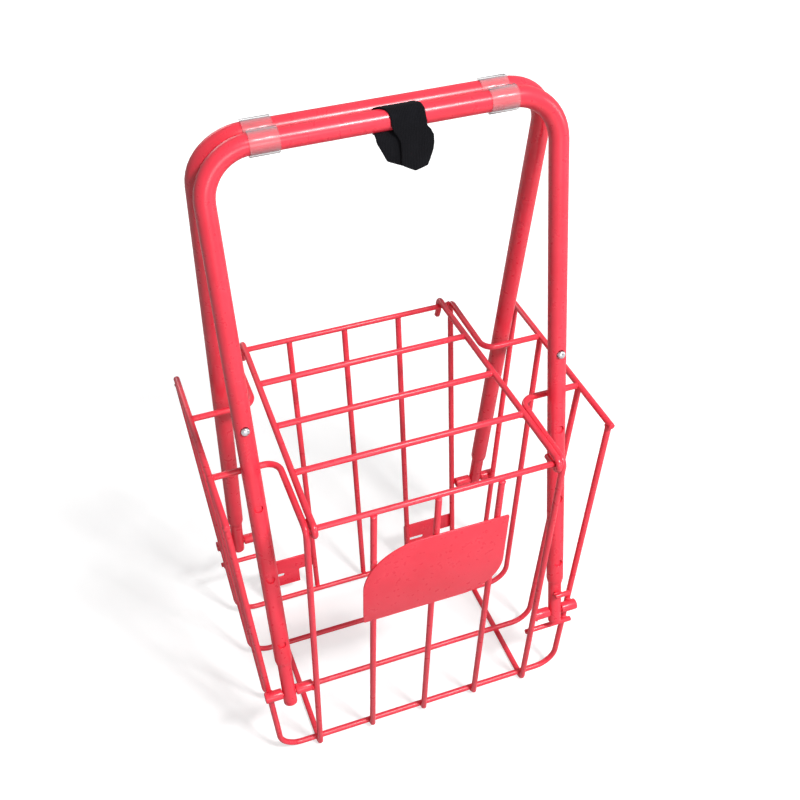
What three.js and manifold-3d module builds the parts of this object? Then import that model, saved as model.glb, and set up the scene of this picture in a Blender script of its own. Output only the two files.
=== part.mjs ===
// Ball hopper of bent and welded steel wire, with two telescopic handles that swing down as legs.
// Millimetres, +Z up, -Y is the front with the bare plate, origin under the middle of the basket.
import * as THREE from 'three';
import { mergeVertices } from 'three/addons/utils/BufferGeometryUtils.js';
import Module from 'manifold-3d';

const wasm = await Module();
wasm.setup();

// Wire basket
const WIRE_D = 5;
const GAP = 0.3;
const LOOP_HALF_X = 112;
const RIM_Z = 345;
const END_FLARE = 27.2;
const SIDE_BOTTOM_HALF_X = 150;
const SIDE_FLARE = 20;
const OUTER_U_FLARE = 3.5;
const INNER_U_FLARE = 8.9;
const FLOOR_WIRE_PITCH = 61;
const U_BEND_R = 22;
const RIM_BEND_R = 7;
const JOG_BEND_R = 12;
const SIDE_WIRE_OVERHANG = 3;
const WIRE_END_OVERHANG = 3;

// Pivots of the two handles
const PIVOT_ACROSS_SHARE = 0.59;
const PIVOT_ABOVE_STOP = 26.8;
const PIN_D = 6;
const SLEEVE_D = 10.5;
const SLEEVE_END_BEYOND_WIRE = 5;
const STOP_BAR_END = 3;

// Telescopic handles
const HANDLE_TUBE_D = 16;
const HANDLE_WALL = 1.3;
const INNER_TUBE_D = 12.8;
const INNER_WALL = 1.2;
const HANDLE_LENGTH = 516;
const HANDLE_BEND_R = 38;
const HANDLE_FOOT = 38;
const BAR_SPACING = 18;
const INNER_TUBE_TAIL = 13;
const INNER_TUBE_TOP = 330;
const HOLE_PITCH = 76.2;
const BUTTON_AT = 294;
const HOLE_COUNT = 4;
const HOLE_D = 7.8;
const BUTTON_D = 7;
const BUTTON_RISE = 2.6;
const SWAGE_LENGTH = 5;
const LEAF_WIDTH = 5;
const LEAF_LENGTH = 26;
const LEAF_THICK = 0.5;
const LEG_STOP_AT = 26;
const LEG_STOP_LENGTH = 15;
const LEG_STOP_INSET = 4;

// Lid
const LID_FRONT_INSET = 6;
const LID_BACK_INSET = 11;
const LID_TAIL = 16;
const LID_HOOK_DROP = 17;
const LID_HOOK_R = 6.2;
const LID_HOOK_FLARE = 3;
const LID_HOOK_BEND_R = 5;
const LID_BAR_SHARES = [0.25, 0.5, 0.75];

// Sheet metal
const PLATE_PAST_LEFT_WIRE = 10.5;
const PLATE_PAST_RIGHT_WIRE = 9.5;
const PLATE_BELOW_RIM = 47;
const PLATE_HEIGHT = 98;
const PLATE_THICK = 1.5;
const PLATE_TOP_LEFT_R = 52;
const PLATE_BOTTOM_RIGHT_R = 38;
const PLATE_SMALL_R = 2;
const BRACKET_TOP_Z = 57;
const BRACKET_STRIP = 19;
const BRACKET_HEIGHT = 38;
const BRACKET_TAB_SHARE = 0.66;
const BRACKET_THICK = 2;
const SLOT_LENGTH = 19;
const SLOT_HEIGHT = 4.6;
const SLOT_FROM_SIDE = 4;
const SLOT_FROM_TOP = 22;

// Clear clips and strap
const CLIP_WIDTH = 22;
const CLIP_THICK = 1.3;
const CLIP_ONTO_BEND = 2;
const STRAP_X = 13;
const STRAP_THICK = 1.4;
const STRAP_BAND = 27;
const STRAP_CROWN = 38;
const STRAP_TAB = 43;
const STRAP_TAB_DROP = 30;
const STRAP_TAB_THICK = 3;

// Facets
const WIRE_SIDES = 10;
const TUBE_SIDES = 20;
const HOLE_SIDES = 14;
const BAND_SIDES = 24;
const PLATE_BEND_STEPS = 10;
const SLOT_END_STEPS = 6;
const BEND_STEPS = 4;
const HANDLE_BEND_STEPS = 7;
const EYE_STEPS = 8;

// Shares of a length
const HALF_SHARE = 0.5;
const THIRD_SHARE = 1 / 3;
const CLIP_OPEN_SHARE = 0.3;
const DOME_FLAT_SHARE = 0.45;

const wireR = WIRE_D * HALF_SHARE;
const wireStep = WIRE_D + GAP;
const floorZ = wireR;
const uBottomZ = floorZ + wireStep;
const outerFloorY = FLOOR_WIRE_PITCH * (1 + HALF_SHARE);
const innerFloorY = FLOOR_WIRE_PITCH * HALF_SHARE;
const wallBottomY = outerFloorY + wireStep;
const rimHalfY = wallBottomY + END_FLARE;
const outerUTopY = outerFloorY + OUTER_U_FLARE;
const innerUTopY = innerFloorY + INNER_U_FLARE;
const wallPitchX = LOOP_HALF_X * HALF_SHARE;
const wallRise = RIM_Z - uBottomZ;
const wallLean = Math.atan2(END_FLARE, wallRise);
const footBendR = WIRE_D;
const rimInset = RIM_BEND_R * (1 - Math.SQRT1_2);
const crossBarY = rimHalfY - rimInset;
const crossBarZ = RIM_Z - rimInset;
const sideTopHalfX = SIDE_BOTTOM_HALF_X + SIDE_FLARE;
const lidFrontHalfX = LOOP_HALF_X - LID_FRONT_INSET;
const lidBackHalfX = LOOP_HALF_X - LID_BACK_INSET;

// Distance of the end walls from the middle at a height.
function wallY(z) {
  return wallBottomY + END_FLARE * (z - uBottomZ) / wallRise;
}

// Distance of the outer U wires from the middle at a height.
function outerWireY(z) {
  return outerFloorY + OUTER_U_FLARE * (z - uBottomZ) / wallRise;
}

// Half width of the side walls at a height.
function sideX(z) {
  return SIDE_BOTTOM_HALF_X + SIDE_FLARE * (z - uBottomZ) / wallRise;
}

// The bar that the turned-down leg rests on sits where the loop and the U wire are one wire apart.
const stopShare = wireStep / (END_FLARE - OUTER_U_FLARE);
const stopZ = uBottomZ + wallRise * stopShare;
const stopY = (wallY(stopZ) + outerWireY(stopZ)) * HALF_SHARE;

const pivotZ = stopZ + PIVOT_ABOVE_STOP;
const pivotHalfX = LOOP_HALF_X + (sideX(pivotZ) - LOOP_HALF_X) * PIVOT_ACROSS_SHARE;
const pivotY = outerWireY(pivotZ) + wireR + GAP + SLEEVE_D * HALF_SHARE;
const barHalfY = BAR_SPACING * HALF_SHARE;
const handleLean = Math.asin((pivotY - barHalfY) / HANDLE_LENGTH);
const barZ = pivotZ + HANDLE_LENGTH * Math.cos(handleLean);
const clipHalfX = pivotHalfX - HANDLE_BEND_R + CLIP_ONTO_BEND - CLIP_WIDTH * HALF_SHARE;
const handleR = HANDLE_TUBE_D * HALF_SHARE;
const handleBoreR = handleR - HANDLE_WALL;
const innerR = INNER_TUBE_D * HALF_SHARE;
const innerBoreR = innerR - INNER_WALL;
const pinR = PIN_D * HALF_SHARE;
const pinHoleR = pinR + GAP;

const red = { color: 0xff4f5f, roughness: 0.42, metalness: 0 };
const steel = { color: 0xc9ccd1, roughness: 0.25, metalness: 1 };
const clearPlastic = { color: 0xe8ecec, roughness: 0.15, metalness: 0, transparent: true, opacity: 0.45 };
const strapBlack = { color: 0x141416, roughness: 0.95, metalness: 0 };

const group = new THREE.Group();
group.name = 'ball_hopper';

function add(name, geometry, finish) {
  const mesh = new THREE.Mesh(geometry, new THREE.MeshStandardMaterial(finish));
  mesh.name = name;
  group.add(mesh);
  return mesh;
}

function solidOf(geometry) {
  const plain = geometry.clone();
  plain.deleteAttribute('normal');
  plain.deleteAttribute('uv');
  const merged = mergeVertices(plain);
  const vertProperties = new Float32Array(merged.attributes.position.array);
  const triVerts = new Uint32Array(merged.index.array);
  return new wasm.Manifold(new wasm.Mesh({ numProp: 3, vertProperties, triVerts }));
}

function geometryOf(solid) {
  const mesh = solid.getMesh();
  const geometry = new THREE.BufferGeometry();
  geometry.setAttribute('position', new THREE.BufferAttribute(new Float32Array(mesh.vertProperties), 3));
  geometry.setIndex(new THREE.BufferAttribute(new Uint32Array(mesh.triVerts), 1));
  geometry.computeVertexNormals();
  return geometry;
}

function circlePoints(radius, sides) {
  const points = [];
  for (let i = 0; i < sides; i += 1) {
    const angle = 2 * Math.PI * i / sides;
    points.push(new THREE.Vector2(radius * Math.cos(angle), radius * Math.sin(angle)));
  }
  return points;
}

function discShape(radius, sides, boreRadius = 0) {
  const shape = new THREE.Shape(circlePoints(radius, sides));
  if (boreRadius > 0) {
    shape.holes.push(new THREE.Path(circlePoints(boreRadius, sides)));
  }
  return shape;
}

// A line of straight runs joined by true arcs, with one station at each end of an arc.
class BentLine extends THREE.Curve {
  constructor(corners, bendRadius, bendSteps) {
    super();
    this.stations = [];
    const radii = Array.isArray(bendRadius) ? bendRadius : corners.map(() => bendRadius);
    const last = corners.length - 1;
    const firstDirection = corners[1].clone().sub(corners[0]).normalize();
    this.stations.push({ point: corners[0].clone(), tangent: firstDirection });
    for (let i = 1; i < last; i += 1) {
      const into = corners[i].clone().sub(corners[i - 1]).normalize();
      const out = corners[i + 1].clone().sub(corners[i]).normalize();
      const turn = into.angleTo(out);
      const axis = new THREE.Vector3().crossVectors(into, out).normalize();
      const reach = radii[i] * Math.tan(turn / 2);
      const start = corners[i].clone().addScaledVector(into, -reach);
      const inward = new THREE.Vector3().crossVectors(axis, into);
      const centre = start.clone().addScaledVector(inward, radii[i]);
      for (let k = 0; k <= bendSteps; k += 1) {
        const swing = turn * k / bendSteps;
        const arm = inward.clone().multiplyScalar(-radii[i]).applyAxisAngle(axis, swing);
        const tangent = into.clone().applyAxisAngle(axis, swing);
        this.stations.push({ point: centre.clone().add(arm), tangent });
      }
    }
    const lastDirection = corners[last].clone().sub(corners[last - 1]).normalize();
    this.stations.push({ point: corners[last].clone(), tangent: lastDirection });
  }

  getPoint(t, target = new THREE.Vector3()) {
    const place = t * (this.stations.length - 1);
    const index = Math.min(Math.floor(place), this.stations.length - 2);
    return target.lerpVectors(this.stations[index].point, this.stations[index + 1].point, place - index);
  }

  getSpacedPoints() {
    return this.stations.map((station) => station.point.clone());
  }

  computeFrenetFrames() {
    const tangents = this.stations.map((station) => station.tangent);
    const helper = Math.abs(tangents[0].x) > Math.SQRT1_2
      ? new THREE.Vector3(0, 0, 1)
      : new THREE.Vector3(1, 0, 0);
    const normal = helper.addScaledVector(tangents[0], -helper.dot(tangents[0])).normalize();
    const normals = [];
    const binormals = [];
    tangents.forEach((tangent, i) => {
      if (i > 0) {
        normal.applyQuaternion(new THREE.Quaternion().setFromUnitVectors(tangents[i - 1], tangent));
      }
      normals.push(normal.clone());
      binormals.push(new THREE.Vector3().crossVectors(tangent, normal));
    });
    return { tangents, normals, binormals };
  }
}

function sweep(shape, corners, bendRadius, bendSteps) {
  const line = new BentLine(corners, bendRadius, bendSteps);
  const steps = line.stations.length - 1;
  return new THREE.ExtrudeGeometry(shape, { steps, extrudePath: line, bevelEnabled: false });
}

function point(x, y, z) {
  return new THREE.Vector3(x, y, z);
}

function wire(corners, bendRadius = 0, bendSteps = BEND_STEPS) {
  return sweep(discShape(wireR, WIRE_SIDES), corners, bendRadius, bendSteps);
}

function rod(radius, sides, from, to, boreRadius = 0) {
  return sweep(discShape(radius, sides, boreRadius), [from, to], 0, 1);
}

function turnedRound(geometry) {
  return geometry.clone().rotateZ(Math.PI);
}

// Four U wires: side wall, floor and side wall in one bent wire.
function buildUWires() {
  const rows = [
    [outerUTopY, outerFloorY],
    [innerUTopY, innerFloorY],
    [-innerUTopY, -innerFloorY],
    [-outerUTopY, -outerFloorY],
  ];
  const topZ = RIM_Z - wireR - GAP;
  rows.forEach(([topY, floorY], i) => {
    const corners = [
      point(-sideTopHalfX, topY, topZ),
      point(-SIDE_BOTTOM_HALF_X, floorY, uBottomZ),
      point(SIDE_BOTTOM_HALF_X, floorY, uBottomZ),
      point(sideTopHalfX, topY, topZ),
    ];
    add(`basket_u_wire_${i + 1}`, wire(corners, U_BEND_R), red);
  });
}

// Two end loops: jog, rim, down the front, along the floor, up the back, rim and jog.
function buildLoops() {
  [-1, 1].forEach((side) => {
    const x = side * LOOP_HALF_X;
    const jogX = side * (sideTopHalfX - wireR - GAP);
    const corners = [
      point(jogX, -innerUTopY, RIM_Z),
      point(x, -innerUTopY, RIM_Z),
      point(x, -rimHalfY, RIM_Z),
      point(x, -wallY(floorZ), floorZ),
      point(x, wallY(floorZ), floorZ),
      point(x, rimHalfY, RIM_Z),
      point(x, innerUTopY, RIM_Z),
      point(jogX, innerUTopY, RIM_Z),
    ];
    const radii = [0, JOG_BEND_R, RIM_BEND_R, footBendR, footBendR, RIM_BEND_R, JOG_BEND_R, 0];
    add(side < 0 ? 'basket_loop_left' : 'basket_loop_right', wire(corners, radii), red);
  });
}

// Straight wires of the two end walls and the side top wires.
function buildStraightWires() {
  const barEndX = LOOP_HALF_X - wireR - GAP;
  const bar = wire([point(-barEndX, -crossBarY, crossBarZ), point(barEndX, -crossBarY, crossBarZ)]);
  add('basket_front_bar', bar, red);
  add('basket_back_bar', turnedRound(bar), red);
  const topZ = crossBarZ - wireR - GAP;
  const endZ = uBottomZ - WIRE_END_OVERHANG;
  [-1, 0, 1].forEach((column, i) => {
    const x = column * wallPitchX;
    const upright = wire([point(x, -wallY(topZ), topZ), point(x, -wallY(endZ), endZ)]);
    add(`basket_front_wire_${i + 1}`, upright, red);
    add(`basket_back_wire_${3 - i}`, turnedRound(upright), red);
  });
  const endY = outerUTopY + wireR + SIDE_WIRE_OVERHANG;
  const sideWire = wire([point(sideTopHalfX, -endY, RIM_Z), point(sideTopHalfX, endY, RIM_Z)]);
  add('basket_side_wire_right', sideWire, red);
  add('basket_side_wire_left', turnedRound(sideWire), red);
}

// Pivot pins with the two sleeves that hold each leg in the middle of its slot.
function buildPivots() {
  const loopSide = LOOP_HALF_X + wireR + GAP;
  const outerEnd = sideX(pivotZ) + SLEEVE_END_BEYOND_WIRE;
  const legSide = innerR + GAP;
  const centre = (x) => point(x, -pivotY, pivotZ);
  const corners = { front_right: [1, false], front_left: [-1, false], back_left: [1, true], back_right: [-1, true] };
  Object.entries(corners).forEach(([corner, [side, turn]]) => {
    const place = (geometry) => (turn ? turnedRound(geometry) : geometry);
    const pin = rod(pinR, WIRE_SIDES, centre(side * loopSide), centre(side * outerEnd));
    add(`pivot_pin_${corner}`, place(pin), red);
    const sleeveR = SLEEVE_D * HALF_SHARE;
    const bore = pinR + GAP;
    const inner = rod(sleeveR, HOLE_SIDES, centre(side * loopSide), centre(side * (pivotHalfX - legSide)), bore);
    const outer = rod(sleeveR, HOLE_SIDES, centre(side * (pivotHalfX + legSide)), centre(side * outerEnd), bore);
    add(`inner_sleeve_${corner}`, place(inner), red);
    add(`outer_sleeve_${corner}`, place(outer), red);
  });
}

function buildStopBars() {
  const from = point(LOOP_HALF_X - wireR, -stopY, stopZ);
  const to = point(sideX(stopZ) + wireR + STOP_BAR_END, -stopY, stopZ);
  const bar = wire([from, to]);
  add('stop_bar_front_right', bar, red);
  add('stop_bar_back_left', turnedRound(bar), red);
}

// Places a piece drawn along +Z from the pivot, with -Y as its front, on the leaning front handle.
function ontoHandle(geometry) {
  return geometry.rotateX(-handleLean).translate(0, -pivotY, pivotZ);
}

function frontHole(radius, x, along, from, to) {
  return solidOf(rod(radius, HOLE_SIDES, point(x, -from, along), point(x, -to, along)));
}

// Outer U tube of a handle: bent ring section, swaged ends and four button holes down each leg.
function handleTube() {
  const shape = discShape(handleR, TUBE_SIDES, handleBoreR);
  const x = pivotHalfX;
  const corners = [
    point(-x, 0, HANDLE_FOOT),
    point(-x, 0, HANDLE_LENGTH),
    point(x, 0, HANDLE_LENGTH),
    point(x, 0, HANDLE_FOOT),
  ];
  let solid = solidOf(sweep(shape, corners, HANDLE_BEND_R, HANDLE_BEND_STEPS));
  const lipR = handleBoreR + HANDLE_WALL * THIRD_SHARE;
  const outR = handleR + WIRE_D;
  const over = HANDLE_FOOT - WIRE_D;
  const swageProfile = [
    new THREE.Vector2(lipR, HANDLE_FOOT),
    new THREE.Vector2(lipR, over),
    new THREE.Vector2(outR, over),
    new THREE.Vector2(outR, HANDLE_FOOT + SWAGE_LENGTH + WIRE_D),
    new THREE.Vector2(handleR + GAP * HALF_SHARE, HANDLE_FOOT + SWAGE_LENGTH),
    new THREE.Vector2(lipR, HANDLE_FOOT),
  ];
  [-x, x].forEach((legX) => {
    const ring = new THREE.LatheGeometry(swageProfile, TUBE_SIDES);
    ring.rotateX(Math.PI / 2);
    ring.translate(legX, 0, 0);
    solid = solid.subtract(solidOf(ring));
    for (let i = 0; i < HOLE_COUNT; i += 1) {
      const along = BUTTON_AT - i * HOLE_PITCH;
      solid = solid.subtract(frontHole(HOLE_D * HALF_SHARE, legX, along, 0, handleR + WIRE_D));
    }
  });
  return ontoHandle(geometryOf(solid));
}

// Inner tube that turns on the pivot pin and slides in the outer U.
function innerTube(side) {
  const x = side * pivotHalfX;
  const tube = rod(innerR, TUBE_SIDES, point(x, 0, -INNER_TUBE_TAIL), point(x, 0, INNER_TUBE_TOP), innerBoreR);
  const pinHole = rod(pinHoleR, HOLE_SIDES, point(x - INNER_TUBE_D, 0, 0), point(x + INNER_TUBE_D, 0, 0));
  let solid = solidOf(tube).subtract(solidOf(pinHole));
  solid = solid.subtract(frontHole(HOLE_D * HALF_SHARE, x, BUTTON_AT, 0, handleR + WIRE_D));
  return ontoHandle(geometryOf(solid));
}

// Sprung button: domed stud on the moving leaf of its spring clip.
function springButton(side) {
  const x = side * pivotHalfX;
  const r = BUTTON_D * HALF_SHARE;
  const top = handleR + BUTTON_RISE;
  const shoulder = handleR + BUTTON_RISE * DOME_FLAT_SHARE * HALF_SHARE;
  const seat = innerBoreR * HALF_SHARE;
  const profile = [new THREE.Vector2(0, seat), new THREE.Vector2(r, seat), new THREE.Vector2(r, shoulder)];
  for (let i = 1; i < BEND_STEPS; i += 1) {
    const swing = Math.PI / 2 * i / BEND_STEPS;
    profile.push(new THREE.Vector2(r * Math.cos(swing), shoulder + (top - shoulder) * Math.sin(swing)));
  }
  profile.push(new THREE.Vector2(0, top));
  const stud = new THREE.LatheGeometry(profile, HOLE_SIDES);
  stud.rotateX(Math.PI);
  stud.translate(x, 0, BUTTON_AT);
  const leaf = new THREE.BoxGeometry(LEAF_WIDTH, LEAF_THICK + GAP, LEAF_LENGTH);
  leaf.translate(x, -seat, BUTTON_AT - LEAF_LENGTH * HALF_SHARE + r);
  return ontoHandle(geometryOf(solidOf(stud).add(solidOf(leaf))));
}

// Fixed leaf of the spring clip, against the far side of the inner tube.
function backLeaf(side) {
  const x = side * pivotHalfX;
  const depth = innerBoreR * (HALF_SHARE + THIRD_SHARE) - GAP;
  const leaf = new THREE.BoxGeometry(LEAF_WIDTH * HALF_SHARE, LEAF_THICK, LEAF_LENGTH);
  leaf.translate(x, depth, BUTTON_AT - LEAF_LENGTH * HALF_SHARE);
  return ontoHandle(leaf);
}

// Short wire across the front of one leg that meets the stop bar once the leg hangs down.
function legStop() {
  const front = -(innerR + GAP + wireR);
  const from = point(pivotHalfX - LEG_STOP_INSET, front, LEG_STOP_AT);
  const to = point(pivotHalfX - LEG_STOP_INSET + LEG_STOP_LENGTH, front, LEG_STOP_AT);
  return ontoHandle(wire([from, to]));
}

function buildHandles() {
  const tube = handleTube();
  add('handle_front', tube, red);
  add('handle_back', turnedRound(tube), red);
  [1, -1].forEach((side) => {
    const name = side > 0 ? 'right' : 'left';
    const turnedName = side > 0 ? 'left' : 'right';
    const leg = innerTube(side);
    add(`inner_leg_front_${name}`, leg, red);
    add(`inner_leg_back_${turnedName}`, turnedRound(leg), red);
    const button = springButton(side);
    add(`spring_button_front_${name}`, button, steel);
    add(`spring_button_back_${turnedName}`, turnedRound(button), steel);
    const leaf = backLeaf(side);
    add(`button_leaf_front_${name}`, leaf, steel);
    add(`button_leaf_back_${turnedName}`, turnedRound(leaf), steel);
  });
  const stop = legStop();
  add('leg_stop_front_right', stop, red);
  add('leg_stop_back_left', turnedRound(stop), red);
}

// Lid of two hooked side wires, with hinge eyes round the front bar, and three cross wires.
const lidZ = crossBarZ + wireStep;

function lidHalfX(y) {
  const share = (y + crossBarY) / (crossBarY + crossBarY);
  return lidFrontHalfX + (lidBackHalfX - lidFrontHalfX) * share;
}

function lidSideWire(side) {
  const eyeR = wireStep;
  const front = -crossBarY;
  const line = [];
  line.push(point(side * lidHalfX(front), front + LID_TAIL, crossBarZ - eyeR));
  line.push(point(side * lidHalfX(front), front - eyeR, crossBarZ - eyeR));
  line.push(point(side * lidHalfX(front), front - eyeR, lidZ));
  line.push(point(side * lidHalfX(front), front + LID_TAIL, lidZ));
  const hookY = crossBarY + LID_HOOK_R;
  line.push(point(side * lidHalfX(crossBarY), crossBarY - LID_TAIL, lidZ));
  line.push(point(side * lidHalfX(crossBarY), hookY, lidZ));
  line.push(point(side * lidHalfX(crossBarY), hookY - GAP, crossBarZ - LID_HOOK_DROP * HALF_SHARE));
  line.push(point(side * lidHalfX(crossBarY), hookY + LID_HOOK_FLARE, crossBarZ - LID_HOOK_DROP));
  const radii = [0, eyeR, eyeR, LID_TAIL, LID_TAIL, LID_HOOK_R, LID_HOOK_BEND_R, 0];
  return sweep(discShape(wireR, WIRE_SIDES), line, radii, EYE_STEPS);
}

function buildLid() {
  add('lid_side_wire_left', lidSideWire(-1), red);
  add('lid_side_wire_right', lidSideWire(1), red);
  LID_BAR_SHARES.forEach((barShare, i) => {
    const y = crossBarY - (crossBarY + crossBarY) * barShare;
    const x = lidHalfX(y) - wireR - GAP;
    add(`lid_cross_wire_${i + 1}`, wire([point(-x, y, lidZ), point(x, y, lidZ)]), red);
  });
}

// Flat piece drawn in the end wall's plane, x across and y up the slope, then laid on its outside.
function ontoFrontWall(geometry) {
  geometry.rotateX(Math.PI / 2 + wallLean);
  const stand = wireR + GAP;
  const lift = Math.sin(wallLean) * stand;
  const out = Math.cos(wallLean) * stand;
  geometry.translate(0, -wallBottomY - out, uBottomZ - lift);
  return geometry;
}

function slopeAt(z) {
  return (z - uBottomZ) / Math.cos(wallLean);
}

function frontPlate() {
  const left = -wallPitchX - PLATE_PAST_LEFT_WIRE;
  const right = wallPitchX + PLATE_PAST_RIGHT_WIRE;
  const high = slopeAt(RIM_Z - PLATE_BELOW_RIM);
  const low = slopeAt(RIM_Z - PLATE_BELOW_RIM - PLATE_HEIGHT);
  const shape = new THREE.Shape();
  shape.moveTo(left + PLATE_SMALL_R, low);
  shape.lineTo(right - PLATE_BOTTOM_RIGHT_R, low);
  shape.absarc(right - PLATE_BOTTOM_RIGHT_R, low + PLATE_BOTTOM_RIGHT_R, PLATE_BOTTOM_RIGHT_R, -Math.PI / 2, 0, false);
  shape.lineTo(right, high - PLATE_SMALL_R);
  shape.absarc(right - PLATE_SMALL_R, high - PLATE_SMALL_R, PLATE_SMALL_R, 0, Math.PI / 2, false);
  shape.lineTo(left + PLATE_TOP_LEFT_R, high);
  shape.absarc(left + PLATE_TOP_LEFT_R, high - PLATE_TOP_LEFT_R, PLATE_TOP_LEFT_R, Math.PI / 2, Math.PI, false);
  shape.lineTo(left, low + PLATE_SMALL_R);
  shape.absarc(left + PLATE_SMALL_R, low + PLATE_SMALL_R, PLATE_SMALL_R, Math.PI, Math.PI * (1 + HALF_SHARE), false);
  const curveSegments = PLATE_BEND_STEPS;
  return new THREE.ExtrudeGeometry(shape, { depth: PLATE_THICK, bevelEnabled: false, curveSegments });
}

// Rear bracket between two back wires, drawn as if on the front wall: strip above, slotted tab below.
function rearBracket(leftX) {
  const far = wireR - leftX;
  const near = -(leftX + wallPitchX + wireR);
  const tabEdge = far - (far - near) * BRACKET_TAB_SHARE;
  const high = slopeAt(BRACKET_TOP_Z);
  const stripLow = high - BRACKET_STRIP;
  const low = high - BRACKET_HEIGHT;
  const shape = new THREE.Shape([
    new THREE.Vector2(tabEdge, low),
    new THREE.Vector2(far, low),
    new THREE.Vector2(far, high),
    new THREE.Vector2(near, high),
    new THREE.Vector2(near, stripLow),
    new THREE.Vector2(tabEdge, stripLow),
  ]);
  const slotR = SLOT_HEIGHT * HALF_SHARE;
  const slotY = high - SLOT_FROM_TOP;
  const slotTo = far - SLOT_FROM_SIDE - slotR;
  const slotFrom = far - SLOT_FROM_SIDE - SLOT_LENGTH + slotR;
  const slot = new THREE.Path();
  slot.moveTo(slotFrom, slotY - slotR);
  slot.lineTo(slotTo, slotY - slotR);
  slot.absarc(slotTo, slotY, slotR, -Math.PI / 2, Math.PI / 2, false);
  slot.lineTo(slotFrom, slotY + slotR);
  slot.absarc(slotFrom, slotY, slotR, Math.PI / 2, Math.PI * (1 + HALF_SHARE), false);
  shape.holes.push(slot);
  const curveSegments = SLOT_END_STEPS;
  return new THREE.ExtrudeGeometry(shape, { depth: BRACKET_THICK, bevelEnabled: false, curveSegments });
}

function buildSheetMetal() {
  add('front_plate', ontoFrontWall(frontPlate()), red);
  add('rear_bracket_right', turnedRound(ontoFrontWall(rearBracket(wallPitchX))), red);
  add('rear_bracket_left', turnedRound(ontoFrontWall(rearBracket(-LOOP_HALF_X))), red);
}

// Clear double clip: a ring round the front bar, slit above the seam, and a snap-on C for the back bar.
function doubleClip(x) {
  const bore = handleR + GAP;
  const outer = bore + CLIP_THICK;
  const from = x - CLIP_WIDTH * HALF_SHARE;
  const to = x + CLIP_WIDTH * HALF_SHARE;
  const ring = (y, radius, reach) => solidOf(rod(
    radius,
    BAND_SIDES,
    point(from - reach, y, barZ),
    point(to + reach, y, barZ),
  ));
  let solid = ring(-barHalfY, outer, 0).add(ring(barHalfY, outer, 0));
  solid = solid.subtract(ring(-barHalfY, bore, GAP)).subtract(ring(barHalfY, bore, GAP));
  const openHalf = HANDLE_TUBE_D * CLIP_OPEN_SHARE;
  const frontCut = new THREE.BoxGeometry(CLIP_WIDTH + WIRE_D, openHalf, HANDLE_TUBE_D);
  frontCut.translate(x, -barHalfY + openHalf, barZ + HANDLE_TUBE_D * HALF_SHARE + GAP);
  const backCut = new THREE.BoxGeometry(CLIP_WIDTH + WIRE_D, HANDLE_TUBE_D, HANDLE_TUBE_D + HANDLE_TUBE_D);
  backCut.translate(x, barHalfY + handleR * HALF_SHARE + handleR, barZ);
  solid = solid.subtract(solidOf(frontCut)).subtract(solidOf(backCut));
  return geometryOf(solid);
}

// Black strap: a band round the front bar, wider over its crown, with a rounded tab hanging in front.
function strap() {
  const bore = handleR + GAP;
  const outer = bore + STRAP_THICK;
  const band = (half, radius) => solidOf(rod(
    radius,
    BAND_SIDES,
    point(STRAP_X - half, -barHalfY, barZ),
    point(STRAP_X + half, -barHalfY, barZ),
  ));
  const crownCut = new THREE.BoxGeometry(STRAP_CROWN + WIRE_D, outer * 2, outer * 2);
  crownCut.translate(STRAP_X, -barHalfY - outer * HALF_SHARE, barZ - outer + handleR * HALF_SHARE);
  const crown = band(STRAP_CROWN * HALF_SHARE, outer).subtract(solidOf(crownCut));
  let solid = band(STRAP_BAND * HALF_SHARE, outer).add(crown);
  const half = STRAP_TAB * HALF_SHARE;
  const top = -handleR;
  const low = top - STRAP_TAB_DROP;
  const shape = new THREE.Shape([
    new THREE.Vector2(-STRAP_BAND * HALF_SHARE, 0),
    new THREE.Vector2(-half, top),
    new THREE.Vector2(-half + STRAP_THICK, top + (low - top) * THIRD_SHARE),
    new THREE.Vector2(-half * HALF_SHARE, low + STRAP_TAB_THICK),
    new THREE.Vector2(half * THIRD_SHARE, low),
    new THREE.Vector2(half * (1 - THIRD_SHARE * HALF_SHARE), low + STRAP_TAB_THICK + STRAP_THICK),
    new THREE.Vector2(half, top + (low - top) * HALF_SHARE),
    new THREE.Vector2(half * (1 - THIRD_SHARE * HALF_SHARE), top),
    new THREE.Vector2(STRAP_BAND * HALF_SHARE, 0),
  ]);
  const tab = new THREE.ExtrudeGeometry(shape, { depth: STRAP_TAB_THICK, bevelEnabled: false });
  tab.rotateX(Math.PI / 2);
  tab.translate(STRAP_X, -barHalfY - bore, barZ);
  solid = solid.add(solidOf(tab));
  solid = solid.subtract(band(STRAP_TAB, bore));
  return geometryOf(solid);
}

function buildTrim() {
  add('clear_clip_left', doubleClip(-clipHalfX), clearPlastic);
  add('clear_clip_right', doubleClip(clipHalfX), clearPlastic);
  add('strap', strap(), strapBlack);
}

buildUWires();
buildLoops();
buildStraightWires();
buildPivots();
buildStopBars();
buildHandles();
buildLid();
buildSheetMetal();
buildTrim();

export default group;
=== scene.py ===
import math

import bmesh
import bpy
import numpy as np
from mathutils import Matrix, Vector, noise


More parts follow.
